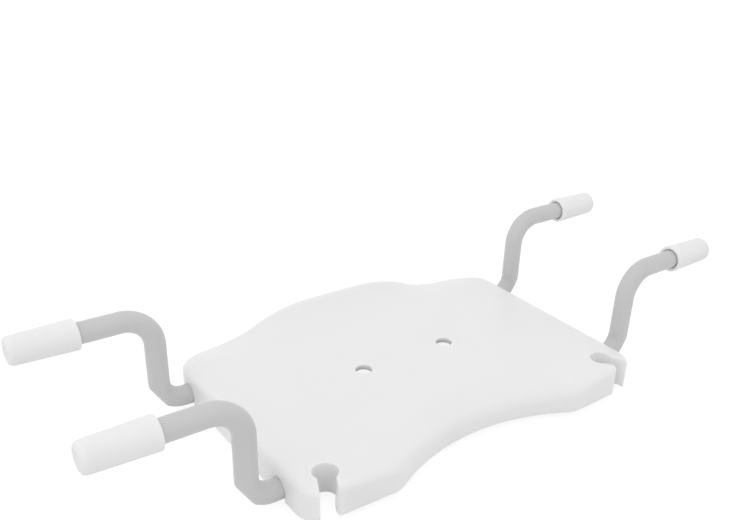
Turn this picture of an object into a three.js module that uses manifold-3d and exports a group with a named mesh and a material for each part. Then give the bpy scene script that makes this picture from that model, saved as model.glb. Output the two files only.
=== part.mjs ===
import * as THREE from "three";
import { mergeVertices } from "three/addons/utils/BufferGeometryUtils.js";
import Module from "manifold-3d";

const wasm = await Module();
wasm.setup();

// Bath seat that hangs between the two rims of a bath: one moulded board with a skirt and ribs
// below it, two bent steel tubes clipped under the board, and a soft grip on each tube end.
// Millimetres. X runs from rim to rim, -Y is the side of the sitter's knees, +Z is up, and
// the origin lies under the middle of the seat, level with the clips' flat feet.

// Overall sizes and fits
const overallLength = 745;
const boardDepth = 294;
const armRise = 100;
const fitGap = 0.3;
const overrun = 5;

// Tubes
const tubeRadius = 10.5;
const tubeWall = 1.5;
const tubeInset = 55.2;
const tubeSetBack = -0.5;
const armReach = 133;
const riserOutset = 30.5;
const kneeRadius = 32;
const footRadius = 24;
const footFlatMiddle = THREE.MathUtils.degToRad(32);
const footFlatHalf = THREE.MathUtils.degToRad(24);

// Grips
const gripLength = 61.5;
const gripMouthRadius = 15;
const gripTipRadius = 13.7;
const gripEndWall = 3.6;
const gripNose = 5;
const gripLip = 1;
const gripMouthRelief = 0.7;
const gripReliefDepth = 3;

// Board shell
const boardThickness = 33;
const skirtBelowAxis = 9.5;
const boardWall = 3.5;
const edgeRadius = 7;
const legCutDepth = 31;
const legCutEndInset = 96;
const shoulderRadius = 35;
const frontCornerRadius = 24;
const frontCornerSetBack = 2.5;
const backCornerRadius = 53;

// Shape of the seat surface
const waterfallDrop = 12;
const waterfallReach = 46;
const waterfallFlatHalf = 60;
const waterfallEndHalf = 185;
const lobeDrop = 6.8;
const lobeRollReach = 60;
const lobeStep = 4.3;
const flankInset = 123;
const flankWidth = 33;
const flankReach = 43;
const flankTurn = THREE.MathUtils.degToRad(21);
const lipRise = 26.6;
const lipReach = 62;
const lipFlatHalf = 36;
const lipEndHalf = 165;

// Keyhole notches for a hand shower in the two front corners
const notchRadius = 11.8;
const notchSlotWidth = 16.4;
const notchThroatRadius = 5;
const notchInset = 30.8;
const notchSetBack = 26.7;
const notchTilt = THREE.MathUtils.degToRad(25);
const notchDraft = THREE.MathUtils.degToRad(1.2);
const notchCollarWall = 2.8;
const notchCollarAboveSkirt = 1;

// Drain holes, each in a collar under the board
const drainRadius = 8.8;
const drainPitch = 108;
const drainSetBack = 1.3;
const drainCollarWall = 2.5;
const drainCollarDepth = 5.7;

// Ribs under the board
const ribThickness = 2.4;
const ribPitch = 54;
const ribOffset = 6;
const ribCount = 7;
const ribAboveSkirt = 5;
const channelClearance = 1.5;

// Tube clips and their screws
const clipInset = 79;
const clipLength = 22;
const clipWall = 4.2;
const clipFootWidth = 8.6;
const clipFlangeThickness = 4;
const clipFlangeMargin = 3.5;
const screwRadius = 1.9;
const screwHeadRadius = 4;
const screwHeadHeight = 2.8;
const screwHeadFlatShare = 0.7;
const screwLength = 16;
const screwSlotWidth = 1.2;
const screwSlotDepth = 1.2;
const bossWall = 3.2;

// Facets
const cutSteps = 8;
const shoulderSteps = 4;
const cornerSteps = 6;
const frontEdgeSteps = 2;
const endEdgeSteps = 5;
const backEdgeSteps = 9;
const edgeSteps = 3;
const tubeSides = 16;
const bendSteps = 6;
const gripSides = 20;
const gripNoseSteps = 3;
const holeSides = 16;
const notchSteps = 10;
const throatSteps = 2;
const bossSides = 10;
const screwSides = 8;
const clipSegments = 8;
const surfaceShares = [1, 0.93, 0.85, 0.76, 0.66, 0.52, 0.3];
const cavityShares = [1, 0.9, 0.78, 0.64, 0.4];
const mergeTolerance = 1e-4;

// Derived places
const boreRadius = tubeRadius + fitGap;
const axisZ = boreRadius + clipWall;
const skirtZ = axisZ - skirtBelowAxis;
const seatZ = skirtZ + boardThickness;
const aboveAll = seatZ + lipRise + overrun;
const belowSkirt = skirtZ - overrun;
const tipX = overallLength / 2;
const riserX = tipX - armReach;
const endX = riserX - riserOutset;
const frontY = -boardDepth / 2;
const backY = boardDepth / 2;
const tubeEndX = tipX - gripEndWall - fitGap;
const clipOuterRadius = Math.hypot(clipFootWidth / 2, axisZ);
const flangeTopZ = axisZ - fitGap;
const flangeLowZ = flangeTopZ - clipFlangeThickness;
const screwOffset = clipOuterRadius + fitGap + screwHeadRadius;
const flangeHalf = screwOffset + screwHeadRadius + clipFlangeMargin;
const screwHeadZ = flangeLowZ - fitGap - screwHeadHeight;
const pilotRadius = screwRadius + fitGap;
const pilotTopZ = screwHeadZ + screwHeadHeight + screwLength + fitGap;
const legCutHalfWidth = endX - legCutEndInset;
const legCutRadius = (legCutHalfWidth ** 2 + legCutDepth ** 2) / (2 * legCutDepth);
const legCutCentreY = frontY + legCutDepth - legCutRadius;

const rows = { front: -1, rear: 1 };
const sides = { left: -1, right: 1 };
const bothSides = Object.values(sides);
const tubeY = (row) => tubeSetBack + row * (boardDepth / 2 - tubeInset);
const clipX = (side) => side * (endX - clipInset);

// A closed surface through rings of points. Seen from the last ring's side each ring runs
// counterclockwise, and a fan round one middle point closes each end.
function loft(rings, firstMiddle, lastMiddle) {
  const count = rings[0].length;
  const index = [];
  for (let r = 0; r + 1 < rings.length; r++) {
    for (let i = 0; i < count; i++) {
      const a = r * count + i;
      const b = r * count + ((i + 1) % count);
      index.push(a, b, b + count, a, b + count, a + count);
    }
  }
  const middle = rings.length * count;
  const lastRing = middle - count;
  for (let i = 0; i < count; i++) {
    const next = (i + 1) % count;
    index.push(middle, next, i);
    index.push(middle + 1, lastRing + i, lastRing + next);
  }
  const geometry = new THREE.BufferGeometry();
  geometry.setFromPoints([...rings.flat(), firstMiddle, lastMiddle]);
  geometry.setIndex(index);
  return solidOf(geometry);
}

function solidOf(geometry) {
  geometry.deleteAttribute("normal");
  geometry.deleteAttribute("uv");
  const merged = mergeVertices(geometry, mergeTolerance);
  const vertProperties = new Float32Array(merged.attributes.position.array);
  const triVerts = new Uint32Array(merged.index.array);
  return new wasm.Manifold(new wasm.Mesh({ numProp: 3, vertProperties, triVerts }));
}

function geometryOf(solid) {
  const mesh = solid.getMesh();
  const stride = mesh.numProp;
  const positions = new Float32Array(mesh.numVert * 3);
  for (let i = 0; i < mesh.numVert; i++) {
    positions.set(mesh.vertProperties.subarray(i * stride, i * stride + 3), i * 3);
  }
  const geometry = new THREE.BufferGeometry();
  geometry.setAttribute("position", new THREE.BufferAttribute(positions, 3));
  geometry.setIndex(new THREE.BufferAttribute(mesh.triVerts, 1));
  const faceted = geometry.toNonIndexed();
  faceted.computeVertexNormals();
  return faceted;
}

function box(x0, x1, y0, y1, z0, z1) {
  const geometry = new THREE.BoxGeometry(x1 - x0, y1 - y0, z1 - z0);
  return solidOf(geometry.translate((x0 + x1) / 2, (y0 + y1) / 2, (z0 + z1) / 2));
}

function post(x, y, z0, z1, radius, segments) {
  const geometry = new THREE.CylinderGeometry(radius, radius, z1 - z0, segments);
  return solidOf(geometry.rotateX(Math.PI / 2).translate(x, y, (z0 + z1) / 2));
}

function arc(cx, cy, radius, from, to, steps) {
  const points = [];
  for (let i = 0; i <= steps; i++) {
    const angle = THREE.MathUtils.lerp(from, to, i / steps);
    points.push(new THREE.Vector2(cx + radius * Math.cos(angle), cy + radius * Math.sin(angle)));
  }
  return points;
}

function between(a, b, steps) {
  const points = [];
  for (let i = 1; i < steps; i++) {
    points.push(a.clone().lerp(b, i / steps));
  }
  return points;
}

// Right half of the board's outline, from the middle of the leg cut-out to the middle of the back.
function halfOutline() {
  const shoulderY = frontY + shoulderRadius;
  const rise = shoulderY - legCutCentreY;
  const shoulderX = Math.sqrt((legCutRadius + shoulderRadius) ** 2 - rise ** 2);
  const turn = Math.atan2(rise, shoulderX);
  const slant = Math.atan2(frontCornerSetBack, endX - shoulderX);
  const facing = slant - Math.PI / 2;
  const cornerX = endX - frontCornerRadius;
  const lineY = frontY + (cornerX - shoulderX) * Math.tan(slant);
  const cornerY = lineY + frontCornerRadius / Math.cos(slant);
  const backX = endX - backCornerRadius;
  const cut = arc(0, legCutCentreY, legCutRadius, Math.PI / 2, turn, cutSteps);
  const shoulder = arc(shoulderX, shoulderY, shoulderRadius, turn - Math.PI, facing, shoulderSteps);
  const corner = arc(cornerX, cornerY, frontCornerRadius, facing, 0, cornerSteps);
  const backCorner = arc(backX, backY - backCornerRadius, backCornerRadius, 0, Math.PI / 2, cornerSteps);
  const middle = new THREE.Vector2(0, backY);
  return [
    ...cut,
    ...shoulder.slice(1),
    ...between(shoulder.at(-1), corner[0], frontEdgeSteps),
    ...corner,
    ...between(corner.at(-1), backCorner[0], endEdgeSteps),
    ...backCorner,
    ...between(backCorner.at(-1), middle, backEdgeSteps),
    middle,
  ];
}

// The whole outline, counterclockwise seen from above.
function outline() {
  const half = halfOutline();
  const mirrored = half.slice(1, -1).reverse().map((p) => new THREE.Vector2(-p.x, p.y));
  return half.concat(mirrored);
}

function inset(points, distance) {
  return points.map((p, i) => {
    const before = points[(i + points.length - 1) % points.length];
    const after = points[(i + 1) % points.length];
    const along = after.clone().sub(before).normalize();
    return new THREE.Vector2(p.x - along.y * distance, p.y + along.x * distance);
  });
}

// Height of the seat surface: level in the middle, falling away under the knees in front,
// rolling down at the back of both sides, and curling up into a low stop behind the sitter.
// A slanted flank steps down from the stop to the lobe on each side.
function surfaceZ(x, y) {
  const { smoothstep } = THREE.MathUtils;
  const side = Math.abs(x);
  const pastFlank = (side - endX + flankInset) * Math.cos(flankTurn) + (y - backY) * Math.sin(flankTurn);
  const step = lobeStep * smoothstep(pastFlank, 0, flankWidth) * smoothstep(y, backY - flankReach, backY);
  const cutX = Math.min(side, legCutHalfWidth);
  const edgeY = legCutCentreY + Math.sqrt(legCutRadius ** 2 - cutX ** 2);
  const nearFront = Math.max(0, 1 - (y - edgeY) / waterfallReach);
  const nearBack = Math.max(0, 1 - (backY - y) / lobeRollReach);
  const onLip = Math.max(0, 1 - (backY - y) / lipReach);
  const fall = waterfallDrop * (1 - smoothstep(side, waterfallFlatHalf, waterfallEndHalf));
  const lip = lipRise * (1 - smoothstep(side, lipFlatHalf, lipEndHalf));
  return seatZ - fall * nearFront ** 2 - lobeDrop * nearBack ** 2 - step + lip * onLip ** 2;
}

function ringAt(points, share, height) {
  return points.map((p) => {
    const x = p.x * share;
    const y = p.y * share;
    return new THREE.Vector3(x, y, height(x, y));
  });
}

// The board as a solid block with a rounded upper edge.
function boardBlock() {
  const edge = outline();
  const rings = [ringAt(edge, 1, () => skirtZ)];
  for (let i = 0; i < edgeSteps; i++) {
    const angle = (Math.PI / 2) * (i / edgeSteps);
    const back = edgeRadius * (1 - Math.cos(angle));
    const down = edgeRadius * (1 - Math.sin(angle));
    rings.push(ringAt(inset(edge, back), 1, (x, y) => surfaceZ(x, y) - down));
  }
  const flat = inset(edge, edgeRadius);
  for (const share of surfaceShares) {
    rings.push(ringAt(flat, share, surfaceZ));
  }
  return loft(rings, new THREE.Vector3(0, 0, skirtZ), new THREE.Vector3(0, 0, surfaceZ(0, 0)));
}

// The hollow under the board, one wall inside the block and open below.
function boardHollow() {
  const edge = inset(outline(), boardWall);
  const bevel = edgeRadius - boardWall;
  const under = (x, y) => surfaceZ(x, y) - boardWall;
  const rings = [ringAt(edge, 1, () => belowSkirt), ringAt(edge, 1, (x, y) => under(x, y) - bevel)];
  const flat = inset(edge, bevel);
  for (const share of cavityShares) {
    rings.push(ringAt(flat, share, under));
  }
  return loft(rings, new THREE.Vector3(0, 0, belowSkirt), new THREE.Vector3(0, 0, under(0, 0)));
}

// Middle of a notch's round hole.
function notchPlace(side) {
  return new THREE.Vector2(side * (endX - notchInset), frontY + notchSetBack);
}

// A keyhole at one height: a round hole with a slot out through the front corner, and a rounded
// throat where the two meet. It narrows downwards by the draft.
function keyholeRing(side, z) {
  const margin = (z - seatZ) * Math.tan(notchDraft);
  const radius = notchRadius + margin;
  const halfSlot = notchSlotWidth / 2 + margin;
  const throatX = halfSlot + notchThroatRadius;
  const throatY = -Math.sqrt((radius + notchThroatRadius) ** 2 - throatX ** 2);
  const turn = Math.atan2(-throatY, throatX);
  const reach = notchSetBack + notchRadius + overrun;
  const plan = [
    ...arc(throatX, throatY, notchThroatRadius, Math.PI, Math.PI - turn, throatSteps),
    ...arc(0, 0, radius, -turn, Math.PI + turn, notchSteps).slice(1, -1),
    ...arc(-throatX, throatY, notchThroatRadius, turn, 0, throatSteps),
    new THREE.Vector2(-halfSlot, -reach),
    new THREE.Vector2(halfSlot, -reach),
  ];
  const middle = new THREE.Vector2();
  return plan.map((p) => {
    const { x, y } = p.rotateAround(middle, side * notchTilt).add(notchPlace(side));
    return new THREE.Vector3(x, y, z);
  });
}

function keyhole(side) {
  const { x, y } = notchPlace(side);
  const rings = [keyholeRing(side, belowSkirt), keyholeRing(side, aboveAll)];
  return loft(rings, new THREE.Vector3(x, y, belowSkirt), new THREE.Vector3(x, y, aboveAll));
}

// Cross ribs from front to back, and a pair of ribs along each tube.
function ribs() {
  const lowZ = skirtZ + ribAboveSkirt;
  const found = [];
  for (let i = 0; i < ribCount; i++) {
    const x = ribOffset + (i - (ribCount - 1) / 2) * ribPitch;
    found.push(box(x - ribThickness / 2, x + ribThickness / 2, frontY, backY, lowZ, aboveAll));
  }
  const channelHalf = boreRadius + channelClearance + ribThickness / 2;
  for (const row of Object.values(rows)) {
    for (const side of bothSides) {
      const y = tubeY(row) + side * channelHalf;
      found.push(box(-endX, endX, y - ribThickness / 2, y + ribThickness / 2, axisZ, aboveAll));
    }
  }
  return found;
}

function forEachScrew(action) {
  for (const row of Object.values(rows)) {
    for (const side of bothSides) {
      for (const way of bothSides) {
        action(clipX(side), tubeY(row) + way * screwOffset);
      }
    }
  }
}

function seatBoard() {
  const kept = ribs();
  forEachScrew((x, y) => kept.push(post(x, y, axisZ, aboveAll, pilotRadius + bossWall, bossSides)));
  for (const side of bothSides) {
    const drainX = (side * drainPitch) / 2;
    const collarRadius = drainRadius + drainCollarWall;
    kept.push(post(drainX, drainSetBack, seatZ - drainCollarDepth, aboveAll, collarRadius, holeSides));
    const { x, y } = notchPlace(side);
    const notchCollarZ = skirtZ + notchCollarAboveSkirt;
    kept.push(post(x, y, notchCollarZ, aboveAll, notchRadius + notchCollarWall, holeSides));
  }
  const hollow = kept.reduce((space, solid) => space.subtract(solid), boardHollow());
  const cuts = [hollow];
  for (const side of bothSides) {
    const drainX = (side * drainPitch) / 2;
    const drainZ = seatZ - drainCollarDepth - fitGap;
    cuts.push(keyhole(side));
    cuts.push(post(drainX, drainSetBack, drainZ, aboveAll, drainRadius, holeSides));
  }
  for (const row of Object.values(rows)) {
    const y = tubeY(row);
    const reach = endX + overrun;
    const way = new THREE.CylinderGeometry(boreRadius, boreRadius, 2 * reach, tubeSides);
    cuts.push(solidOf(way.rotateZ(Math.PI / 2).translate(0, y, axisZ)));
    cuts.push(box(-reach, reach, y - boreRadius, y + boreRadius, belowSkirt, axisZ));
    for (const side of bothSides) {
      const x = clipX(side);
      const halfX = clipLength / 2 + fitGap;
      const halfY = flangeHalf + fitGap;
      cuts.push(box(x - halfX, x + halfX, y - halfY, y + halfY, belowSkirt, axisZ));
    }
  }
  forEachScrew((x, y) => cuts.push(post(x, y, belowSkirt, pilotTopZ, pilotRadius, screwSides)));
  return geometryOf(cuts.reduce((board, cut) => board.subtract(cut), boardBlock()));
}

// How far the outside of the foot bend is pressed in, at a turn measured from the riser: the flat
// there is a chord of the bend.
function footFlat(turn) {
  const off = Math.min(Math.abs(turn - footFlatMiddle), footFlatHalf);
  return (footRadius + tubeRadius) * (1 - Math.cos(footFlatHalf) / Math.cos(off));
}

// Places along the right half of a tube's centre line, from the tube's end inwards. The angle is
// the turn from level, and the flat is how far the tube is pressed in below.
function tubeStations() {
  const stations = [{ x: tubeEndX, z: armRise, angle: 0, flat: 0 }];
  for (let i = 0; i <= bendSteps; i++) {
    const angle = (Math.PI / 2) * (i / bendSteps);
    const x = riserX + kneeRadius * (1 - Math.sin(angle));
    const z = armRise - kneeRadius * (1 - Math.cos(angle));
    stations.push({ x, z, angle, flat: 0 });
  }
  for (let i = bendSteps; i >= 0; i--) {
    const angle = (Math.PI / 2) * (i / bendSteps);
    const x = riserX - footRadius * (1 - Math.sin(angle));
    const z = footRadius * (1 - Math.cos(angle));
    stations.push({ x, z, angle, flat: footFlat(Math.PI / 2 - angle) });
  }
  return stations;
}

// Cross-section of the tube at a station. The outside of the foot bend is pressed flat.
function tubeRing(station, radius, side) {
  const squeezed = radius - station.flat;
  const ring = [];
  for (let i = 0; i < tubeSides; i++) {
    const turn = (2 * Math.PI * i) / tubeSides;
    const sine = Math.sin(turn);
    const up = sine < 0 ? squeezed * sine : radius * sine;
    const x = side * (station.x - up * Math.sin(station.angle));
    const z = axisZ + station.z + up * Math.cos(station.angle);
    ring.push(new THREE.Vector3(x, radius * Math.cos(turn), z));
  }
  return ring;
}

function tubeSolid(radius, extra) {
  const half = tubeStations();
  half[0].x += extra;
  const left = half.map((station) => tubeRing(station, radius, -1));
  const right = half.map((station) => tubeRing(station, radius, 1)).reverse();
  const first = new THREE.Vector3(-half[0].x, 0, axisZ + armRise);
  const last = new THREE.Vector3(half[0].x, 0, axisZ + armRise);
  return loft([...left, ...right], first, last);
}

function tubeGeometry() {
  return geometryOf(tubeSolid(tubeRadius, 0).subtract(tubeSolid(tubeRadius - tubeWall, overrun)));
}

// Soft sleeve, open at the mouth and closed at the tip, turned round the tube's axis.
function gripGeometry() {
  const innerEnd = gripLength - gripEndWall;
  const reliefRadius = boreRadius + gripMouthRelief;
  const noseRadius = gripTipRadius - gripNose;
  const profile = [
    new THREE.Vector2(0, innerEnd),
    new THREE.Vector2(boreRadius, innerEnd),
    new THREE.Vector2(boreRadius, gripReliefDepth),
    new THREE.Vector2(reliefRadius, gripReliefDepth - gripMouthRelief),
    new THREE.Vector2(reliefRadius, 0),
    new THREE.Vector2(gripMouthRadius - gripLip, 0),
    new THREE.Vector2(gripMouthRadius, gripLip),
    ...arc(noseRadius, gripLength - gripNose, gripNose, 0, Math.PI / 2, gripNoseSteps),
    new THREE.Vector2(0, gripLength),
  ];
  return new THREE.LatheGeometry(profile, gripSides);
}

// Strap clip: a saddle under the tube with a flat foot, and a flange with a screw on each side.
function clipGeometry() {
  const wallAngle = Math.asin((axisZ - flangeLowZ) / clipOuterRadius);
  const footAngle = Math.acos(clipFootWidth / 2 / clipOuterRadius);
  const lipAngle = Math.asin(fitGap / boreRadius);
  const shape = new THREE.Shape();
  shape.moveTo(-flangeHalf, flangeTopZ);
  shape.lineTo(-flangeHalf, flangeLowZ);
  shape.absarc(0, axisZ, clipOuterRadius, Math.PI + wallAngle, Math.PI + footAngle, false);
  shape.absarc(0, axisZ, clipOuterRadius, -footAngle, -wallAngle, false);
  shape.lineTo(flangeHalf, flangeLowZ);
  shape.lineTo(flangeHalf, flangeTopZ);
  shape.absarc(0, axisZ, boreRadius, -lipAngle, lipAngle - Math.PI, true);
  const options = { depth: clipLength, bevelEnabled: false, curveSegments: clipSegments };
  const geometry = new THREE.ExtrudeGeometry(shape, options);
  geometry.rotateX(Math.PI / 2).rotateZ(Math.PI / 2).translate(-clipLength / 2, 0, 0);
  const holes = bothSides.map((way) =>
    post(0, way * screwOffset, flangeLowZ - overrun, axisZ + overrun, pilotRadius, screwSides),
  );
  return geometryOf(holes.reduce((clip, hole) => clip.subtract(hole), solidOf(geometry)));
}

// Pan-head screw, head down, with a driving slot.
function screwGeometry() {
  const profile = [
    new THREE.Vector2(0, 0),
    new THREE.Vector2(screwHeadRadius * screwHeadFlatShare, 0),
    new THREE.Vector2(screwHeadRadius, screwHeadHeight / 2),
    new THREE.Vector2(screwHeadRadius, screwHeadHeight),
    new THREE.Vector2(screwRadius, screwHeadHeight),
    new THREE.Vector2(screwRadius, screwHeadHeight + screwLength - screwRadius),
    new THREE.Vector2(0, screwHeadHeight + screwLength),
  ];
  const body = solidOf(new THREE.LatheGeometry(profile, screwSides).rotateX(Math.PI / 2));
  const halfWidth = screwSlotWidth / 2;
  const slot = box(-screwHeadRadius, screwHeadRadius, -halfWidth, halfWidth, -overrun, screwSlotDepth);
  return geometryOf(body.subtract(slot));
}

const whitePlastic = new THREE.MeshStandardMaterial({ color: 0xf1f1f1, roughness: 0.3 });
const softPlastic = new THREE.MeshStandardMaterial({ color: 0xefefef, roughness: 0.6 });
const greyPaint = new THREE.MeshStandardMaterial({ color: 0xb8b8b8, roughness: 0.4, metalness: 0.2 });
const steel = new THREE.MeshStandardMaterial({ color: 0x9a9a9a, roughness: 0.35, metalness: 1 });

function addMesh(parent, name, geometry, material, x, y, z) {
  const mesh = new THREE.Mesh(geometry, material);
  mesh.name = name;
  mesh.position.set(x, y, z);
  parent.add(mesh);
  return mesh;
}

// One tube with its two grips, its two clips and their screws, all placed from the tube's axis.
function tubeSet(row, rowSign, shapes) {
  const set = new THREE.Group();
  set.position.y = tubeY(rowSign);
  addMesh(set, row + "_tube", shapes.tube, greyPaint, 0, 0, 0);
  for (const [side, sign] of Object.entries(sides)) {
    const name = row + "_" + side;
    const mouthX = sign * (tipX - gripLength);
    const grip = addMesh(set, name + "_grip", shapes.grip, softPlastic, mouthX, 0, axisZ + armRise);
    grip.rotation.z = (-sign * Math.PI) / 2;
    addMesh(set, name + "_clip", shapes.clip, whitePlastic, clipX(sign), 0, 0);
    for (const way of bothSides) {
      const place = way === rowSign ? "_outer_screw" : "_inner_screw";
      addMesh(set, name + place, shapes.screw, steel, clipX(sign), way * screwOffset, screwHeadZ);
    }
  }
  return set;
}

const shapes = {
  tube: tubeGeometry(),
  grip: gripGeometry(),
  clip: clipGeometry(),
  screw: screwGeometry(),
};
const seat = new THREE.Group();
addMesh(seat, "seat_board", seatBoard(), whitePlastic, 0, 0, 0);
for (const [row, rowSign] of Object.entries(rows)) {
  seat.add(tubeSet(row, rowSign, shapes));
}

export default seat;
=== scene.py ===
import math

import bpy
import numpy as np
from mathutils import Matrix, Vector
from mathutils.bvhtree import BVHTree
from mathutils.interpolate import poly_3d_calc


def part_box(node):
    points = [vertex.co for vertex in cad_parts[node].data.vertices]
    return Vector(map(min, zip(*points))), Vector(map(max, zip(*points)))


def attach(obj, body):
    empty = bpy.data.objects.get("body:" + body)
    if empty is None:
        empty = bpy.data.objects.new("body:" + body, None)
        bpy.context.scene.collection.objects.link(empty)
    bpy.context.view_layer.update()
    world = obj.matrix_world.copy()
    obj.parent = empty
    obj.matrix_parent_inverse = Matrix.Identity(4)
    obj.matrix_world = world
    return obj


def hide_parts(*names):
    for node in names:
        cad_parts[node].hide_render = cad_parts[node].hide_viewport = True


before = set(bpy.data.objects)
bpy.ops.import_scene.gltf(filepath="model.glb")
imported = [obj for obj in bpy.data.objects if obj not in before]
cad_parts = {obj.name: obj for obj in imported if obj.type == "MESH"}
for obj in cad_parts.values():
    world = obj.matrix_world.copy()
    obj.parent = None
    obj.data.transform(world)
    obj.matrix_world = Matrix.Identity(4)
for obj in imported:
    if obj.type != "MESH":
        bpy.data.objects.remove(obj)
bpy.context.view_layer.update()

# The finish and the fine shapes of a bath seat, round the fixed CAD pieces. Metres; X runs from
# rim to rim, -Y is the side of the sitter's knees, +Z is up.

SIDES = {"left": -1, "right": 1}
ROWS = {"front": -1, "rear": 1}
WAYS = (-1, 1)

board_low, board_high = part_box("seat_board")
tube_low, tube_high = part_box("front_tube")
grip_low, grip_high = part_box("front_right_grip")
clip_low, clip_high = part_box("front_right_clip")

# Places read from the frame
END_X = board_high.x
BACK_Y = board_high.y
FRONT_Y = board_low.y
SKIRT_Z = board_low.z
TUBE_RADIUS = (tube_high.y - tube_low.y) / 2
TUBE_END_X = tube_high.x
TUBE_Y = {row: sum(corner.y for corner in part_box(row + "_tube")) / 2 for row in ROWS}
ARM_Z = tube_high.z - TUBE_RADIUS
AXIS_Z = tube_low.z + TUBE_RADIUS
CLIP_X = (clip_low.x + clip_high.x) / 2
CLIP_HALF_LENGTH = (clip_high.x - clip_low.x) / 2
CLIP_HALF_WIDTH = (clip_high.y - clip_low.y) / 2
GRIP_LENGTH = grip_high.x - grip_low.x
GRIP_MOUTH_X = grip_low.x
GRIP_MOUTH_RADIUS = (grip_high.y - grip_low.y) / 2

# Fits
FIT_GAP = 0.0003
OVERRUN = 0.005
AXIS_HOLE = 0.0003

# Board shell
BOARD_HEIGHT = 0.033
BOARD_WALL = 0.0035
EDGE_RADIUS = 0.007
RIM_FILLET = 0.0009
LEG_CUT_DEPTH = 0.031
LEG_CUT_INSET = 0.096
SHOULDER_RADIUS = 0.035
FRONT_CORNER_RADIUS = 0.024
FRONT_CORNER_SET_BACK = 0.0025
BACK_CORNER_RADIUS = 0.053

# Shape of the seat surface
WATERFALL_DROP = 0.012
WATERFALL_REACH = 0.046
WATERFALL_FLAT_HALF = 0.060
WATERFALL_END_HALF = 0.185
LOBE_DROP = 0.0068
LOBE_ROLL_REACH = 0.060
LOBE_STEP = 0.0043
FLANK_INSET = 0.123
FLANK_WIDTH = 0.033
FLANK_REACH = 0.043
FLANK_TURN = math.radians(21)
LIP_RISE = 0.0266
LIP_REACH = 0.062
LIP_FLAT_HALF = 0.036
LIP_END_HALF = 0.165

# Keyhole notches
NOTCH_RADIUS = 0.0118
NOTCH_HALF_SLOT = 0.0082
NOTCH_THROAT_RADIUS = 0.005
NOTCH_MOUTH_RADIUS = 0.005
NOTCH_MOUTH_END = math.radians(8)
NOTCH_INSET = 0.0308
NOTCH_SET_BACK = 0.0267
NOTCH_TILT = math.radians(25)
NOTCH_DRAFT = math.radians(1.2)
NOTCH_COLLAR_WALL = 0.0028
NOTCH_COLLAR_ABOVE_SKIRT = 0.001
TOP_FILLET = 0.0012
TOP_FILLET_TURN = math.radians(74)
FLARE_REACH = 0.001

# Drain holes
DRAIN_RADIUS = 0.0088
DRAIN_HALF_PITCH = 0.054
DRAIN_Y = 0.0013
DRAIN_COLLAR_WALL = 0.0025
DRAIN_COLLAR_DEPTH = 0.0057

# Ribs and bosses under the board
RIB_THICKNESS = 0.0024
RIB_PITCH = 0.054
RIB_OFFSET = 0.006
RIB_COUNT = 7
RIB_ABOVE_SKIRT = 0.005
RIB_GAP_FRONT = 0.010
RIB_GAP_BACK = 0.028
CHANNEL_CLEARANCE = 0.0015
BOSS_WALL = 0.0032
POST_BEVEL = 0.0005

# Tubes
TUBE_WALL = 0.0015
RISER_OUT = 0.0305
KNEE_RADIUS = 0.032
FOOT_RADIUS = 0.024
FOOT_FLAT_MIDDLE = math.radians(32)
FOOT_FLAT_HALF = math.radians(24)

# Grips
GRIP_TIP_RADIUS = 0.0137
GRIP_NOSE = 0.005
GRIP_END_WALL = 0.0036
GRIP_LIP = 0.0012
GRIP_MOUTH_RELIEF = 0.0007
GRIP_RELIEF_DEPTH = 0.003

# Clips and screws
CLIP_FOOT_HALF = 0.0043
CLIP_FLANGE = 0.004
CLIP_EDGE = 0.0007
CLIP_EDGE_ANGLE = math.radians(50)
CLIP_EDGE_FACETS = 3
SCREW_RADIUS = 0.0019
SCREW_HEAD_RADIUS = 0.004
SCREW_HEAD_HEIGHT = 0.0028
SCREW_CROWN_SHARE = 0.8
SCREW_FLAT_SHARE = 0.55
SCREW_LENGTH = 0.016
SCREW_SLOT = 0.0012

# Facets
FINE_STEPS = 60
LONG_STEPS = 40
CORNER_STEPS = 24
EDGE_STEPS = 10
SMALL_STEPS = 6
ROUND_SIDES = 64
POST_SIDES = 32
# Rings of the seat and of the hollow's ceiling, as shares of the way from the middle to the edge
SURFACE_SHARES = np.concatenate([np.linspace(0.99, 0.5, 40), np.linspace(0.45, 0.05, 9)])
HOLLOW_SHARES = np.concatenate([np.linspace(0.98, 0.5, 20), np.linspace(0.4, 0.05, 5)])

# Shading of the facets
SHARP_ANGLE = math.radians(38)
SAME_FACE_ANGLE = math.radians(25)
SAME_PLACE = 0.00002

# Places and sizes worked out from the others
SEAT_Z = SKIRT_Z + BOARD_HEIGHT
CORE_FILLET = EDGE_RADIUS - BOARD_WALL
LEG_CUT_HALF_WIDTH = END_X - LEG_CUT_INSET
RISER_X = END_X + RISER_OUT
BORE_RADIUS = TUBE_RADIUS + FIT_GAP
ABOVE_ALL = SEAT_Z + LIP_RISE + OVERRUN
BELOW_SKIRT = SKIRT_Z - OVERRUN
CUT_RADIUS = (LEG_CUT_HALF_WIDTH**2 + LEG_CUT_DEPTH**2) / (2 * LEG_CUT_DEPTH)
CUT_CENTRE_Y = FRONT_Y + LEG_CUT_DEPTH - CUT_RADIUS
SHOULDER_Y = FRONT_Y + SHOULDER_RADIUS
SHOULDER_X = math.sqrt((CUT_RADIUS + SHOULDER_RADIUS) ** 2 - (SHOULDER_Y - CUT_CENTRE_Y) ** 2)
FRONT_SLANT = math.atan2(FRONT_CORNER_SET_BACK, END_X - SHOULDER_X)
NOTCH_X = END_X - NOTCH_INSET
NOTCH_Y = FRONT_Y + NOTCH_SET_BACK
CLIP_OUTER_RADIUS = math.hypot(CLIP_FOOT_HALF, AXIS_Z)
FLANGE_TOP_Z = AXIS_Z - FIT_GAP
FLANGE_LOW_Z = FLANGE_TOP_Z - CLIP_FLANGE
SCREW_OFFSET = CLIP_OUTER_RADIUS + FIT_GAP + SCREW_HEAD_RADIUS
SCREW_HEAD_Z = FLANGE_LOW_Z - FIT_GAP - SCREW_HEAD_HEIGHT
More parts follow.
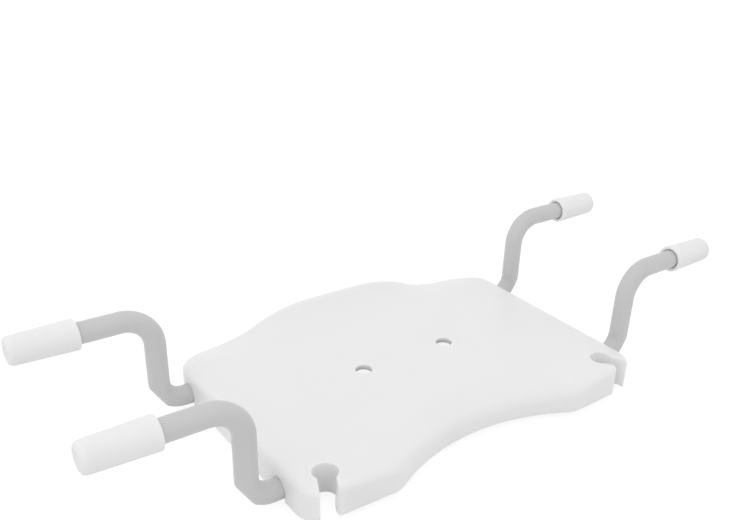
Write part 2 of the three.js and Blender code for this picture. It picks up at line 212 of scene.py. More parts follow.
PILOT_RADIUS = SCREW_RADIUS + FIT_GAP
PILOT_TOP_Z = SCREW_HEAD_Z + SCREW_HEAD_HEIGHT + SCREW_LENGTH + FIT_GAP


# Plan of the board and height of its seat


def arc(cx, cy, radius, start, end, steps):
    angle = np.linspace(start, end, steps + 1)
    return np.column_stack([cx + radius * np.cos(angle), cy + radius * np.sin(angle)])


def circle(cx, cy, radius, sides=ROUND_SIDES):
    return arc(cx, cy, radius, 0, 2 * math.pi, sides)[:-1]


def between(a, b, steps):
    """The points that divide the line from a to b into equal steps, without its ends."""
    share = np.arange(1, steps)[:, None] / steps
    return a + (b - a) * share


def smoothstep(value, low, high):
    t = np.clip((value - low) / (high - low), 0, 1)
    return t * t * (3 - 2 * t)


def outline():
    """The board's outline, counterclockwise seen from above."""
    turn = math.atan2(SHOULDER_Y - CUT_CENTRE_Y, SHOULDER_X)
    facing = FRONT_SLANT - math.pi / 2
    corner_x = END_X - FRONT_CORNER_RADIUS
    line_y = FRONT_Y + (corner_x - SHOULDER_X) * math.tan(FRONT_SLANT)
    corner_y = line_y + FRONT_CORNER_RADIUS / math.cos(FRONT_SLANT)
    back_x = END_X - BACK_CORNER_RADIUS
    back_y = BACK_Y - BACK_CORNER_RADIUS
    leg_cut = arc(0, CUT_CENTRE_Y, CUT_RADIUS, math.pi / 2, turn, LONG_STEPS)
    shoulder = arc(SHOULDER_X, SHOULDER_Y, SHOULDER_RADIUS, turn - math.pi, facing, CORNER_STEPS)
    corner = arc(corner_x, corner_y, FRONT_CORNER_RADIUS, facing, 0, CORNER_STEPS)
    back = arc(back_x, back_y, BACK_CORNER_RADIUS, 0, math.pi / 2, CORNER_STEPS)
    middle = np.array([0, BACK_Y])
    half = [
        leg_cut,
        shoulder[1:],
        between(shoulder[-1], corner[0], CORNER_STEPS),
        corner,
        between(corner[-1], back[0], LONG_STEPS),
        back,
        between(back[-1], middle, FINE_STEPS),
        [middle],
    ]
    right = np.vstack(half)
    return np.vstack([right, right[1:-1][::-1] * [-1, 1]])


def inset(points, distance):
    """A counterclockwise outline, moved inwards by the distance."""
    along = np.roll(points, -1, 0) - np.roll(points, 1, 0)
    along /= np.linalg.norm(along, axis=1)[:, None]
    return points + np.column_stack([-along[:, 1], along[:, 0]]) * distance


def surface_z(x, y):
    """Height of the seat: level in the middle, a fall under the knees, a roll at the back of both
    sides, a low stop that curls up behind the sitter, and a slanted flank beside it."""
    side = np.abs(x)
    across = (side - END_X + FLANK_INSET) * math.cos(FLANK_TURN)
    along = (y - BACK_Y) * math.sin(FLANK_TURN)
    step = LOBE_STEP * smoothstep(across + along, 0, FLANK_WIDTH)
    step = step * smoothstep(y, BACK_Y - FLANK_REACH, BACK_Y)
    edge_y = CUT_CENTRE_Y + np.sqrt(CUT_RADIUS**2 - np.minimum(side, LEG_CUT_HALF_WIDTH) ** 2)
    near_front = np.maximum(0, 1 - (y - edge_y) / WATERFALL_REACH)
    near_back = np.maximum(0, 1 - (BACK_Y - y) / LOBE_ROLL_REACH)
    on_lip = np.maximum(0, 1 - (BACK_Y - y) / LIP_REACH)
    fall = WATERFALL_DROP * (1 - smoothstep(side, WATERFALL_FLAT_HALF, WATERFALL_END_HALF))
    lip = LIP_RISE * (1 - smoothstep(side, LIP_FLAT_HALF, LIP_END_HALF))
    return SEAT_Z - fall * near_front**2 - LOBE_DROP * near_back**2 - step + lip * on_lip**2


def rounded_z(points, edge):
    """Height of the seat with its rounded outer edge, at points in plan."""
    x, y = points.T
    run = np.roll(edge, -1, 0) - edge
    offset = points[:, None, :] - edge[None]
    share = np.clip((offset * run).sum(2) / (run * run).sum(1), 0, 1)
    near = np.linalg.norm(offset - share[:, :, None] * run, axis=2).min(1)
    inside = np.clip(EDGE_RADIUS - near, 0, EDGE_RADIUS)
    return surface_z(x, y) - EDGE_RADIUS + np.sqrt(EDGE_RADIUS**2 - inside**2)


# Meshes


def new_object(name, mesh):
    obj = bpy.data.objects.new(name, mesh)
    bpy.context.scene.collection.objects.link(obj)
    return obj


def remove(obj):
    """Deletes an object and its mesh."""
    mesh = obj.data
    bpy.data.objects.remove(obj)
    bpy.data.meshes.remove(mesh)


def loft(name, rings, capped=True):
    """A mesh through rings of points. Seen from the last ring's side each ring runs
    counterclockwise. Without caps the last ring joins the first one."""
    rings = np.asarray(rings, float)
    levels, count = rings.shape[:2]
    index = np.arange(levels * count).reshape(levels, count)
    lower = index[:-1] if capped else index
    upper = index[1:] if capped else np.roll(index, -1, 0)
    quads = np.stack([lower, np.roll(lower, -1, 1), np.roll(upper, -1, 1), upper], 2)
    faces = quads.reshape(-1, 4).tolist()
    if capped:
        faces += [index[0][::-1].tolist(), index[-1].tolist()]
    mesh = bpy.data.meshes.new(name)
    mesh.from_pydata(rings.reshape(-1, 3).tolist(), [], faces)
    mesh.update()
    return new_object(name, mesh)


def ring(points, z):
    """Points in plan raised to z, which is one height or a height for each point."""
    return np.column_stack([points, np.broadcast_to(z, len(points))])


def section(x, profile):
    """A profile's points (y, z) at one x."""
    return np.column_stack([np.full(len(profile), x), profile])


def box(name, low, high):
    corners = np.array([[low[0], low[1]], [high[0], low[1]], [high[0], high[1]], [low[0], high[1]]])
    return loft(name, [ring(corners, low[2]), ring(corners, high[2])])


def post(name, x, y, low, high, radius, bevel=0.0):
    """An upright round post, its lower edge bevelled or, with no bevel, square."""
    rings = [ring(circle(x, y, radius - bevel, POST_SIDES), low)]
    if bevel:
        rings.append(ring(circle(x, y, radius, POST_SIDES), low + bevel))
    rings.append(ring(circle(x, y, radius, POST_SIDES), high))
    return loft(name, rings)


def applied(obj):
    """Replaces obj's mesh by its shape with all modifiers."""
    depsgraph = bpy.context.evaluated_depsgraph_get()
    mesh = bpy.data.meshes.new_from_object(obj.evaluated_get(depsgraph))
    obj.modifiers.clear()
    old = obj.data
    obj.data = mesh
    bpy.data.meshes.remove(old)
    return obj


def cut(obj, cutters):
    """Subtracts the cutters from obj and removes them."""
    for cutter in cutters:
        modifier = obj.modifiers.new(cutter.name, "BOOLEAN")
        modifier.operation = "DIFFERENCE"
        modifier.solver = "MANIFOLD"
        modifier.object = cutter
    applied(obj)
    for cutter in cutters:
        remove(cutter)
    return obj


def smooth(obj):
    """Shades obj smooth between its sharp edges."""
    obj.data.shade_smooth()
    obj.data.set_sharp_from_angle(angle=SHARP_ANGLE)
    return obj


def take_normals(obj, source):
    """Where a corner of obj still lies on the uncut source, it takes the source's smooth normal, so
    that the thin triangles along a cut don't show."""
    plain = source.data
    plain.shade_smooth()
    plain.calc_loop_triangles()
    points = [v.co.copy() for v in plain.vertices]
    normals = [v.normal.copy() for v in plain.vertices]
    triangles = [tuple(t.vertices) for t in plain.loop_triangles]
    tree = BVHTree.FromPolygons(points, triangles)
    smoothed = {}
    mesh = obj.data
    for vertex in mesh.vertices:
        spot, _, face, distance = tree.find_nearest(vertex.co)
        if distance < SAME_PLACE:
            corners = triangles[face]
            weights = poly_3d_calc([points[i] for i in corners], spot)
            mean = sum((normals[i] * w for i, w in zip(corners, weights)), Vector())
            smoothed[vertex.index] = mean.normalized()
    limit = math.cos(SAME_FACE_ANGLE)
    custom = [corner.vector.copy() for corner in mesh.corner_normals]
    for face in mesh.polygons:
        for loop in face.loop_indices:
            normal = smoothed.get(mesh.loops[loop].vertex_index)
            if normal is not None and normal.dot(face.normal) > limit:
                custom[loop] = normal
    mesh.normals_split_custom_set(custom)
    remove(source)


# Board


def board_block(name, edge):
    """The board as a solid block: a rim rounded below, a straight skirt, a rounded upper edge and
    the seat surface."""
    rings = []
    for angle in np.linspace(0, math.pi / 2, SMALL_STEPS):
        back = RIM_FILLET * (1 - math.sin(angle))
        rings.append(ring(inset(edge, back), SKIRT_Z + RIM_FILLET * (1 - math.cos(angle))))
    rim_z = SKIRT_Z + RIM_FILLET
    top_z = surface_z(*edge.T) - EDGE_RADIUS
    for share in np.linspace(0, 1, SMALL_STEPS)[1:-1]:
        rings.append(ring(edge, rim_z + (top_z - rim_z) * share))
    for angle in np.linspace(0, math.pi / 2, EDGE_STEPS + 1):
        points = inset(edge, EDGE_RADIUS * (1 - math.cos(angle)))
        rings.append(ring(points, surface_z(*points.T) - EDGE_RADIUS * (1 - math.sin(angle))))
    flat = inset(edge, EDGE_RADIUS)
    for share in SURFACE_SHARES:
        points = flat * share
        rings.append(ring(points, surface_z(*points.T)))
    return loft(name, rings)


def board_hollow(edge):
    """The hollow under the board, one wall inside the block and open below."""

    def under(points):
        return surface_z(*points.T) - BOARD_WALL

    rings = [ring(inset(edge, BOARD_WALL - RIM_FILLET), BELOW_SKIRT)]
    for angle in np.linspace(0, math.pi / 2, SMALL_STEPS):
        points = inset(edge, BOARD_WALL - RIM_FILLET * (1 - math.sin(angle)))
        rings.append(ring(points, SKIRT_Z + RIM_FILLET * (1 - math.cos(angle))))
    for angle in np.linspace(0, math.pi / 2, SMALL_STEPS):
        points = inset(edge, BOARD_WALL + CORE_FILLET * (1 - math.cos(angle)))
        rings.append(ring(points, under(points) - CORE_FILLET * (1 - math.sin(angle))))
    inner = inset(edge, EDGE_RADIUS)
    for share in HOLLOW_SHARES:
        points = inner * share
        rings.append(ring(points, under(points)))
    return loft("hollow", rings)


def keyhole_plan(margin):
    """The right keyhole in its own frame, counterclockwise, with its slot towards -Y: a rounded
    throat, and a rounded corner where the slot's inner wall meets the front edge. That corner stops
    NOTCH_MOUTH_END short of the edge's direction, so that the cut crosses the edge at an angle."""
    radius = NOTCH_RADIUS + margin
    half = NOTCH_HALF_SLOT + margin
    throat_x = half + NOTCH_THROAT_RADIUS
    throat_y = -math.sqrt((radius + NOTCH_THROAT_RADIUS) ** 2 - throat_x**2)
    turn = math.atan2(-throat_y, throat_x)
    sine, cosine, slope = math.sin(NOTCH_TILT), math.cos(NOTCH_TILT), math.tan(FRONT_SLANT)
    mouth_x = -half - NOTCH_MOUTH_RADIUS
    line_y = FRONT_Y + (NOTCH_X - SHOULDER_X + cosine * mouth_x) * slope
    level = line_y + NOTCH_MOUTH_RADIUS / math.cos(FRONT_SLANT)
    mouth_y = (level - NOTCH_Y - sine * mouth_x) / (cosine + sine * slope)
    mouth_turn = NOTCH_MOUTH_END - math.pi / 2 - NOTCH_TILT + FRONT_SLANT
    mouth = arc(mouth_x, mouth_y, NOTCH_MOUTH_RADIUS, 0, mouth_turn, CORNER_STEPS)
    past = mouth[-1] - 2 * OVERRUN * np.array([sine, cosine])
    reach = NOTCH_SET_BACK + NOTCH_RADIUS + OVERRUN
    parts = [
        [[half, -reach]],
        arc(throat_x, throat_y, NOTCH_THROAT_RADIUS, math.pi, math.pi - turn, SMALL_STEPS),
        arc(0, 0, radius, -turn, math.pi + turn, ROUND_SIDES)[1:-1],
        arc(-throat_x, throat_y, NOTCH_THROAT_RADIUS, turn, 0, SMALL_STEPS),
        mouth,
        [past],
    ]
    return np.vstack(parts)


def in_board(points, side):
    """Points of the right keyhole's frame in the board's plan, mirrored for the left one."""
    sine, cosine = math.sin(NOTCH_TILT), math.cos(NOTCH_TILT)
    turned = points @ np.array([[cosine, sine], [-sine, cosine]]) + [NOTCH_X, NOTCH_Y]
    return turned if side > 0 else turned[::-1] * [-1, 1]


def keyhole(name, side, edge):
    """Cutter for a keyhole notch, which narrows downwards by the draft."""
    foot = in_board(keyhole_plan((BELOW_SKIRT - SEAT_Z) * math.tan(NOTCH_DRAFT)), side)
    return flared(name, foot, in_board(keyhole_plan(0), side), BELOW_SKIRT, edge)


def flared(name, foot, top, low, edge):
    """A cutter from one plan shape to another, whose upper edge opens out in a fillet along the
    seat surface."""
    rings = [ring(foot, low)]
    lift = TOP_FILLET * (1 - math.sin(TOP_FILLET_TURN))
    for angle in np.linspace(0, TOP_FILLET_TURN, SMALL_STEPS + 1):
        points = inset(top, -TOP_FILLET * (1 - math.cos(angle)))
        level = rounded_z(points, edge) + lift
        rings.append(ring(points, level - TOP_FILLET * (1 - math.sin(angle))))
    out = TOP_FILLET * (1 - math.cos(TOP_FILLET_TURN)) + FLARE_REACH * math.sin(TOP_FILLET_TURN)
    last = inset(top, -out)
    rings.append(ring(last, rounded_z(last, edge) + FLARE_REACH * math.cos(TOP_FILLET_TURN)))
    rings.append(ring(last, ABOVE_ALL))
    return loft(name, rings)


def rib(name, centre, low, along_x):
    """A rib with a rounded free edge, along X or along Y, right through the board."""
    half = RIB_THICKNESS / 2
    round_edge = arc(0, low + half, half, math.pi, 2 * math.pi, SMALL_STEPS)
    across, up = np.vstack([round_edge, [[half, ABOVE_ALL], [-half, ABOVE_ALL]]]).T
    rings = []
    for end in WAYS:
        if along_x:
            rings.append(np.column_stack([np.full(len(up), end * END_X), centre + across, up]))
        else:
            rings.append(np.column_stack([centre - across, np.full(len(up), end * BACK_Y), up]))
    return loft(name, rings)


def screw_places():
    """The eight screws' places in plan."""
    for row in ROWS:
        for side in SIDES.values():
            for way in WAYS:
                yield side * CLIP_X, TUBE_Y[row] + way * SCREW_OFFSET


def tube_way(name, y):
    """The channel for a tube: a half-round bore open below, through both ends of the board."""
    reach = END_X + OVERRUN
    bore = arc(y, AXIS_Z, BORE_RADIUS, 0, math.pi, POST_SIDES)
    profile = np.vstack([bore, [[y - BORE_RADIUS, BELOW_SKIRT], [y + BORE_RADIUS, BELOW_SKIRT]]])
    return loft(name, [section(x, profile) for x in (-reach, reach)])


def notch_collar(name, side):
    """The wall below a keyhole, round its hole and along its slot."""
    low = SKIRT_Z + NOTCH_COLLAR_ABOVE_SKIRT
    plan = in_board(keyhole_plan(NOTCH_COLLAR_WALL), side)
    rings = [ring(inset(plan, POST_BEVEL), low), ring(plan, low + POST_BEVEL)]
    rings.append(ring(plan, ABOVE_ALL))
    return loft(name, rings)


def kept_in_hollow():
    """What the hollow leaves standing: ribs, screw bosses, the collars of the drain holes and the
    walls of the keyholes. A rib that passes under a drain hole has a gap there."""
    kept = []
    for i in range(RIB_COUNT):
        x = RIB_OFFSET + (i - (RIB_COUNT - 1) / 2) * RIB_PITCH
        cross_rib = rib(f"cross_rib_{i}", x, SKIRT_Z + RIB_ABOVE_SKIRT, along_x=False)
        if any(abs(x - side * DRAIN_HALF_PITCH) < DRAIN_RADIUS for side in SIDES.values()):
            low = (x - RIB_THICKNESS, DRAIN_Y - RIB_GAP_FRONT, BELOW_SKIRT)
            high = (x + RIB_THICKNESS, DRAIN_Y + RIB_GAP_BACK, SEAT_Z - DRAIN_COLLAR_DEPTH)
            cut(cross_rib, [box("gap", low, high)])
        kept.append(cross_rib)
    channel_half = BORE_RADIUS + CHANNEL_CLEARANCE + RIB_THICKNESS / 2
    for row in ROWS:
        for way in WAYS:
            y = TUBE_Y[row] + way * channel_half
            kept.append(rib(f"{row}_rib_{way}", y, AXIS_Z, along_x=True))
    boss_radius = PILOT_RADIUS + BOSS_WALL
    for i, (x, y) in enumerate(screw_places()):
        kept.append(post(f"boss_{i}", x, y, AXIS_Z, ABOVE_ALL, boss_radius, POST_BEVEL))
    for name, side in SIDES.items():
        x, low = side * DRAIN_HALF_PITCH, SEAT_Z - DRAIN_COLLAR_DEPTH
        radius = DRAIN_RADIUS + DRAIN_COLLAR_WALL
        kept.append(post(name + "_drain_collar", x, DRAIN_Y, low, ABOVE_ALL, radius, POST_BEVEL))
        kept.append(notch_collar(name + "_notch_collar", side))
    return kept


def seat_board():
    """The board: a block less its hollow, holes, tube channels, clip pockets and screw holes."""
    edge = outline()
    cutters = [cut(board_hollow(edge), kept_in_hollow())]
    drain_low = SEAT_Z - DRAIN_COLLAR_DEPTH - FIT_GAP
    for name, side in SIDES.items():
        cutters.append(keyhole(name + "_keyhole", side, edge))
        hole = circle(side * DRAIN_HALF_PITCH, DRAIN_Y, DRAIN_RADIUS)
        cutters.append(flared(name + "_drain", hole, hole, drain_low, edge))
    for row in ROWS:
        cutters.append(tube_way(row + "_way", TUBE_Y[row]))
        for side in SIDES.values():
            reach = Vector((CLIP_HALF_LENGTH + FIT_GAP, CLIP_HALF_WIDTH + FIT_GAP))
            middle = Vector((side * CLIP_X, TUBE_Y[row]))
            low = (*(middle - reach), BELOW_SKIRT)
            high = (*(middle + reach), AXIS_Z)
            cutters.append(box(f"{row}_pocket_{side}", low, high))
    for i, (x, y) in enumerate(screw_places()):
        cutters.append(post(f"pilot_{i}", x, y, BELOW_SKIRT, PILOT_TOP_Z, PILOT_RADIUS))
    board = smooth(cut(board_block("board_moulding", edge), cutters))
    take_normals(board, board_block("uncut", edge))
    return board


# Tubes and grips


def foot_flat(turn):
    """How far the outside of the foot bend is pressed in, at a turn measured from the riser."""
    off = min(abs(turn - FOOT_FLAT_MIDDLE), FOOT_FLAT_HALF)
    return (FOOT_RADIUS + TUBE_RADIUS) * (1 - math.cos(FOOT_FLAT_HALF) / math.cos(off))


def tube_stations():
    """Places along the right half of a tube's centre line, from the tube's end inwards: x, height
    above the lower run, turn from level, and how far the tube is pressed in below."""
    rise = ARM_Z - AXIS_Z
    stations = [(TUBE_END_X, rise, 0, 0)]
    for angle in np.linspace(0, math.pi / 2, CORNER_STEPS + 1):
        x = RISER_X + KNEE_RADIUS * (1 - math.sin(angle))
        stations.append((x, rise - KNEE_RADIUS * (1 - math.cos(angle)), angle, 0))
    for angle in np.linspace(math.pi / 2, 0, LONG_STEPS + 1):
        x = RISER_X - FOOT_RADIUS * (1 - math.sin(angle))
        z = FOOT_RADIUS * (1 - math.cos(angle))
        stations.append((x, z, angle, foot_flat(math.pi / 2 - angle)))
    return stations


def tube_ring(station, radius, side, y):
    """Points round the tube's centre line at a station, of its outside or of its bore."""
    x, z, angle, flat = station
    out, up = circle(0, 0, radius).T
    up = np.where(up < 0, up * (1 - flat / radius), up)
    rise = AXIS_Z + z + up * math.cos(angle)
    return np.column_stack([side * (x - up * math.sin(angle)), y + out, rise])


def bent_tube(row):
    """A tube from grip to grip: its outside one way and its bore back, joined at both ends."""
    y = TUBE_Y[row]
    stations = tube_stations()
    rings = []
    for radius, first, last in ((TUBE_RADIUS, -1, 1), (TUBE_RADIUS - TUBE_WALL, 1, -1)):
        rings += [tube_ring(s, radius, first, y) for s in stations]
        rings += [tube_ring(s, radius, last, y) for s in reversed(stations)]
    return smooth(loft(row + "_bent_tube", rings, capped=False))


def revolved(name, profile, sides=ROUND_SIDES):
    """A closed surface of revolution round X, from (x, radius) points."""
    return loft(name, [section(x, circle(0, 0, radius, sides)) for x, radius in profile])


def grip(row, side_name):
    """Soft sleeve over the tube's end: a rounded mouth, a slight taper and a rounded tip."""
    inner_end = GRIP_LENGTH - GRIP_END_WALL
    relief = BORE_RADIUS + GRIP_MOUTH_RELIEF
    inner_lip = min(GRIP_LIP, (GRIP_MOUTH_RADIUS - relief) / 2)
    nose_x = GRIP_LENGTH - GRIP_NOSE
    nose_radius = GRIP_TIP_RADIUS - GRIP_NOSE
    profile = [
        (inner_end, AXIS_HOLE),
        (inner_end, BORE_RADIUS),
        (GRIP_RELIEF_DEPTH, BORE_RADIUS),
        (GRIP_RELIEF_DEPTH - GRIP_MOUTH_RELIEF, relief),
    ]
    quarter = np.linspace(0, math.pi / 2, SMALL_STEPS + 1)
    for angle in quarter:
        out = relief + inner_lip * (1 - math.cos(angle))
        profile.append((inner_lip * (1 - math.sin(angle)), out))
    for angle in quarter:
        out = GRIP_MOUTH_RADIUS - GRIP_LIP * (1 - math.sin(angle))
        profile.append((GRIP_LIP * (1 - math.cos(angle)), out))
    for angle in np.linspace(0, math.pi / 2, EDGE_STEPS + 1):
        out = nose_radius + GRIP_NOSE * math.cos(angle)
        profile.append((nose_x + GRIP_NOSE * math.sin(angle), out))
    profile.append((GRIP_LENGTH, AXIS_HOLE))
    obj = revolved(f"{row}_{side_name}_sleeve", profile)
    side = SIDES[side_name]
    obj.data.transform(Matrix.Rotation(0 if side > 0 else math.pi, 4, "Z"))
    obj.data.transform(Matrix.Translation((side * GRIP_MOUTH_X, TUBE_Y[row], ARM_Z)))
    return smooth(obj)


# Clips and screws


def clip(row, side_name):
    """Strap clip: a saddle under the tube with a flat foot, and a flange on each side."""
    wall_angle = math.asin((AXIS_Z - FLANGE_LOW_Z) / CLIP_OUTER_RADIUS)
    foot_angle = math.acos(CLIP_FOOT_HALF / CLIP_OUTER_RADIUS)
    lip_angle = math.asin(FIT_GAP / BORE_RADIUS)
    parts = [
        [[-CLIP_HALF_WIDTH, FLANGE_TOP_Z], [-CLIP_HALF_WIDTH, FLANGE_LOW_Z]],
        arc(0, AXIS_Z, CLIP_OUTER_RADIUS, math.pi + wall_angle, math.pi + foot_angle, EDGE_STEPS),
        arc(0, AXIS_Z, CLIP_OUTER_RADIUS, -foot_angle, -wall_angle, EDGE_STEPS),
        [[CLIP_HALF_WIDTH, FLANGE_LOW_Z], [CLIP_HALF_WIDTH, FLANGE_TOP_Z]],
        arc(0, AXIS_Z, BORE_RADIUS, -lip_angle, lip_angle - math.pi, POST_SIDES),
    ]
    profile = np.vstack(parts)
    ends = (-CLIP_HALF_LENGTH, CLIP_HALF_LENGTH)
    obj = loft(f"{row}_{side_name}_strap", [section(x, profile) for x in ends])
    low, high = FLANGE_LOW_Z - OVERRUN, AXIS_Z + OVERRUN
    cut(obj, [post(f"hole_{way}", 0, way * SCREW_OFFSET, low, high, PILOT_RADIUS) for way in WAYS])
    bevel = obj.modifiers.new("edges", "BEVEL")
    bevel.width = CLIP_EDGE
    bevel.segments = CLIP_EDGE_FACETS
    bevel.limit_method = "ANGLE"
    bevel.angle_limit = CLIP_EDGE_ANGLE
    applied(obj)
    obj.data.transform(Matrix.Translation((SIDES[side_name] * CLIP_X, TUBE_Y[row], 0)))
    return smooth(obj)


def screw(name, x, y):
    """Pan-head screw, head down, with a driving slot as deep as it is wide."""
    top = SCREW_HEAD_HEIGHT + SCREW_LENGTH
    flat = SCREW_HEAD_RADIUS * SCREW_FLAT_SHARE
    crown = SCREW_HEAD_HEIGHT * SCREW_CROWN_SHARE
    profile = [(0, AXIS_HOLE)]
    for angle in np.linspace(0, math.pi / 2, EDGE_STEPS):
        out = flat + (SCREW_HEAD_RADIUS - flat) * math.sin(angle)
        profile.append((crown * (1 - math.cos(angle)), out))
    profile += [(SCREW_HEAD_HEIGHT, SCREW_HEAD_RADIUS), (SCREW_HEAD_HEIGHT, SCREW_RADIUS)]
    profile += [(top - SCREW_RADIUS, SCREW_RADIUS), (top, AXIS_HOLE)]
    obj = revolved(name, profile, POST_SIDES)
    obj.data.transform(Matrix.Rotation(-math.pi / 2, 4, "Y"))
    half = SCREW_SLOT / 2
    low = (-SCREW_HEAD_RADIUS, -half, -OVERRUN)
    high = (SCREW_HEAD_RADIUS, half, SCREW_SLOT)
    cut(obj, [box("slot", low, high)])
    obj.data.transform(Matrix.Translation((x, y, SCREW_HEAD_Z)))
    return smooth(obj)


# Materials

NOISE_MIDDLE = (0.3, 0.7)
CLOUD_SCALE = 9
CLOUD_DETAIL = 3
GLOSS_SCALE = 35
GLOSS_DETAIL = 4
GLOSS_ROUGHNESS = 0.6
GLOW_DEPTH = 0.005

# Sockets of a mix node, whose names repeat from one type of data to the next
MIX_FACTOR = 0
MIX_COLOURS = (6, 7)
MIX_COLOUR_RESULT = 2
MIX_VALUES = (2, 3)
MIX_VALUE_RESULT = 0


def grey(level):
    return (level, level, level, 1)


def noise(tree, scale, detail=2.0, roughness=0.5):
    """A noise fixed to the piece, with its scale per metre."""
    coordinates = tree.nodes.new("ShaderNodeTexCoord")
    texture = tree.nodes.new("ShaderNodeTexNoise")
    texture.inputs["Scale"].default_value = scale
    texture.inputs["Detail"].default_value = detail
    texture.inputs["Roughness"].default_value = roughness
    tree.links.new(coordinates.outputs["Object"], texture.inputs["Vector"])
    return texture.outputs["Fac"]


def spread(tree, factor, low, high):
    """Maps the middle of a noise's range to values from low to high."""
    node = tree.nodes.new("ShaderNodeMapRange")
    node.inputs["From Min"].default_value = NOISE_MIDDLE[0]
    node.inputs["From Max"].default_value = NOISE_MIDDLE[1]
    node.inputs["To Min"].default_value = low
    node.inputs["To Max"].default_value = high
    tree.links.new(factor, node.inputs["Value"])
    return node.outputs["Result"]


def mixed(tree, factor, *levels):
    """A grey between two levels, by the factor."""
    node = tree.nodes.new("ShaderNodeMix")
    node.data_type = "RGBA"
    for socket, level in zip(MIX_COLOURS, levels):
        node.inputs[socket].default_value = grey(level)
    tree.links.new(factor, node.inputs[MIX_FACTOR])
    return node.outputs[MIX_COLOUR_RESULT]


def bump(tree, height, distance):
    """The normals of a fine relief, whose full height is the distance."""
    node = tree.nodes.new("ShaderNodeBump")
    node.inputs["Distance"].default_value = distance
    tree.links.new(height, node.inputs["Height"])
    return node.outputs["Normal"]


def finish_material(name, tones, roughness, grain, metallic=0.0, depth_share=0.0):
    """A moulded or coated surface: two close greys in soft clouds, an uneven gloss and a fine
    grain. grain is (noise scale per metre, height in metres). depth_share is how much of the light
    glows through the surface."""
    material = bpy.data.materials.new(name)
    material.use_nodes = True
    tree = material.node_tree
    bsdf = tree.nodes["Principled BSDF"]
    bsdf.inputs["Metallic"].default_value = metallic
    bsdf.inputs["Subsurface Weight"].default_value = depth_share
    bsdf.inputs["Subsurface Radius"].default_value = (1, 1, 1)
    bsdf.inputs["Subsurface Scale"].default_value = GLOW_DEPTH
    clouds = spread(tree, noise(tree, CLOUD_SCALE, CLOUD_DETAIL), 0, 1)
    tree.links.new(mixed(tree, clouds, *tones), bsdf.inputs["Base Color"])
    gloss = noise(tree, GLOSS_SCALE, GLOSS_DETAIL, GLOSS_ROUGHNESS)
    tree.links.new(spread(tree, gloss, *roughness), bsdf.inputs["Roughness"])
    tree.links.new(bump(tree, noise(tree, grain[0]), grain[1]), bsdf.inputs["Normal"])
    return material


FINISHES = {
    "board_plastic": finish_material(
        "moulded_white",
        tones=(0.89, 0.91),
        roughness=(0.30, 0.36),
        grain=(1600, 0.000004),
        depth_share=0.5,
    ),
    "grip_plastic": finish_material(
        "soft_white",
        tones=(0.90, 0.92),
        roughness=(0.50, 0.60),
        grain=(1100, 0.00002),
        depth_share=0.5,
    ),
    "clip_plastic": finish_material(
        "strap_white",
        tones=(0.78, 0.82),
        roughness=(0.42, 0.52),
        grain=(1500, 0.00001),
    ),
    "tube_paint": finish_material(
        "satin_grey",
        tones=(0.59, 0.62),
        roughness=(0.36, 0.42),
        grain=(2400, 0.000004),
    ),
    "screw_steel": finish_material(
        "zinc",
        tones=(0.55, 0.65),
        roughness=(0.30, 0.42),
        grain=(3000, 0.000005),
        metallic=1.0,
    ),
}


def place(obj, slot, *nodes):
    """Finishes a piece, lets it ride on the seat and stand for its CAD nodes."""
    obj.data.materials.clear()
    obj.data.materials.append(FINISHES[slot])
    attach(obj, "root")
    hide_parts(*nodes)


place(seat_board(), "board_plastic", "seat_board")
for row in ROWS:
    place(bent_tube(row), "tube_paint", row + "_tube")
    for side_name, side in SIDES.items():
        node = f"{row}_{side_name}"
        place(grip(row, side_name), "grip_plastic", node + "_grip")
        place(clip(row, side_name), "clip_plastic", node + "_clip")
        for way in WAYS:
            screw_node = node + ("_outer_screw" if way == ROWS[row] else "_inner_screw")
            fixing = screw(screw_node + "_zinc", side * CLIP_X, TUBE_Y[row] + way * SCREW_OFFSET)
            place(fixing, "screw_steel", screw_node)


# Studio: white paper floor, even light from all round and one soft lamp

WHITE = 1.0
FLOOR_REACH = 6.0
# The paper's own grey and glow as it is seen or mirrored, and its grey to all other light
PAPER = 0.20
PAPER_GLOW = 0.88
PAPER_BOUNCE = 0.86
ROOM_LIGHT = 0.885
LAMP_PLACE = (-0.9, -0.2, 1.4)
LAMP_SIZE = 1.0
LAMP_POWER = 2.0


def seen_or_mirrored(tree):
    """1 for camera, glossy and transmission rays, 0 for the others."""
    path = tree.nodes.new("ShaderNodeLightPath").outputs
    result = path["Is Camera Ray"]
    for kind in ("Is Glossy Ray", "Is Transmission Ray"):
        larger = tree.nodes.new("ShaderNodeMath")
        larger.operation = "MAXIMUM"
        tree.links.new(result, larger.inputs[0])
        tree.links.new(path[kind], larger.inputs[1])
        result = larger.outputs[0]
    return result


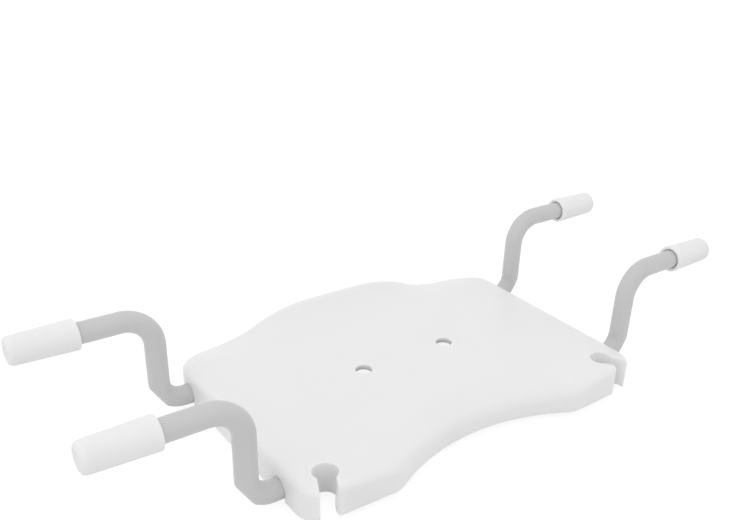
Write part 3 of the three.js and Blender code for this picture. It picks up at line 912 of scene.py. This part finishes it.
def floor():
    """White where it is seen or mirrored, with a faint shadow, and plain paper to other light."""
    mesh = bpy.data.meshes.new("floor")
    reach = FLOOR_REACH
    corners = [(-reach, -reach, 0), (reach, -reach, 0), (reach, reach, 0), (-reach, reach, 0)]
    mesh.from_pydata(corners, [], [(0, 1, 2, 3)])
    obj = new_object("floor", mesh)
    material = bpy.data.materials.new("floor_paper")
    material.use_nodes = True
    tree = material.node_tree
    tree.nodes.remove(tree.nodes["Principled BSDF"])
    paper = tree.nodes.new("ShaderNodeBsdfDiffuse")
    paper.inputs["Color"].default_value = grey(PAPER)
    glow = tree.nodes.new("ShaderNodeEmission")
    glow.inputs["Strength"].default_value = PAPER_GLOW
    bounce = tree.nodes.new("ShaderNodeBsdfDiffuse")
    bounce.inputs["Color"].default_value = grey(PAPER_BOUNCE)
    both = tree.nodes.new("ShaderNodeAddShader")
    tree.links.new(paper.outputs[0], both.inputs[0])
    tree.links.new(glow.outputs[0], both.inputs[1])
    choice = tree.nodes.new("ShaderNodeMixShader")
    tree.links.new(seen_or_mirrored(tree), choice.inputs[0])
    tree.links.new(bounce.outputs[0], choice.inputs[1])
    tree.links.new(both.outputs[0], choice.inputs[2])
    tree.links.new(choice.outputs[0], tree.nodes["Material Output"].inputs["Surface"])
    obj.data.materials.append(material)


def room():
    """An even room, plain white where it is seen or mirrored."""
    world = bpy.data.worlds.new("studio")
    world.use_nodes = True
    tree = world.node_tree
    background = tree.nodes["Background"]
    background.inputs["Color"].default_value = grey(WHITE)
    level = tree.nodes.new("ShaderNodeMix")
    level.data_type = "FLOAT"
    for socket, strength in zip(MIX_VALUES, (ROOM_LIGHT, WHITE)):
        level.inputs[socket].default_value = strength
    tree.links.new(seen_or_mirrored(tree), level.inputs[MIX_FACTOR])
    tree.links.new(level.outputs[MIX_VALUE_RESULT], background.inputs["Strength"])
    bpy.context.scene.world = world


def lamp():
    """A weak soft lamp, turned to the middle of the floor."""
    light = bpy.data.lights.new("softbox", "AREA")
    light.size = LAMP_SIZE
    light.energy = LAMP_POWER
    obj = new_object("softbox", light)
    obj.location = LAMP_PLACE
    obj.rotation_euler = (-obj.location).to_track_quat("-Z", "Y").to_euler()


# The photograph's view: where it was taken from, how it is turned and how it was cropped

CAMERA_PLACE = (-0.5003, -0.6303, 0.5074)
CAMERA_AZIMUTH = math.radians(-39.06)
CAMERA_ELEVATION = math.radians(27.42)
CAMERA_ROLL = math.radians(3.13)
PHOTO_WIDTH = 729
PHOTO_HEIGHT = 520
PHOTO_FOCAL = 861.84
PHOTO_CENTRE = (416.16, 313.59)
SENSOR_WIDTH = 36


def camera():
    """The camera, placed and turned as the photograph's was."""
    flat = math.cos(CAMERA_ELEVATION)
    sideways = math.sin(CAMERA_AZIMUTH) * flat
    back = Vector((sideways, -math.cos(CAMERA_AZIMUTH) * flat, math.sin(CAMERA_ELEVATION)))
    level_right = (-back).cross(Vector((0, 0, 1))).normalized()
    level_up = back.cross(level_right).normalized()
    right = level_right * math.cos(CAMERA_ROLL) + level_up * math.sin(CAMERA_ROLL)
    up = level_up * math.cos(CAMERA_ROLL) - level_right * math.sin(CAMERA_ROLL)
    data = bpy.data.cameras.new("camera")
    data.sensor_width = SENSOR_WIDTH
    data.lens = PHOTO_FOCAL / PHOTO_WIDTH * SENSOR_WIDTH
    data.shift_x = (PHOTO_WIDTH / 2 - PHOTO_CENTRE[0]) / PHOTO_WIDTH
    data.shift_y = (PHOTO_CENTRE[1] - PHOTO_HEIGHT / 2) / PHOTO_WIDTH
    obj = new_object("camera", data)
    turn = Matrix((right, up, back)).transposed().to_4x4()
    obj.matrix_world = Matrix.Translation(CAMERA_PLACE) @ turn
    bpy.context.scene.camera = obj


floor()
room()
lamp()
camera()
bpy.context.scene.view_settings.view_transform = "Standard"
bpy.context.view_layer.update()
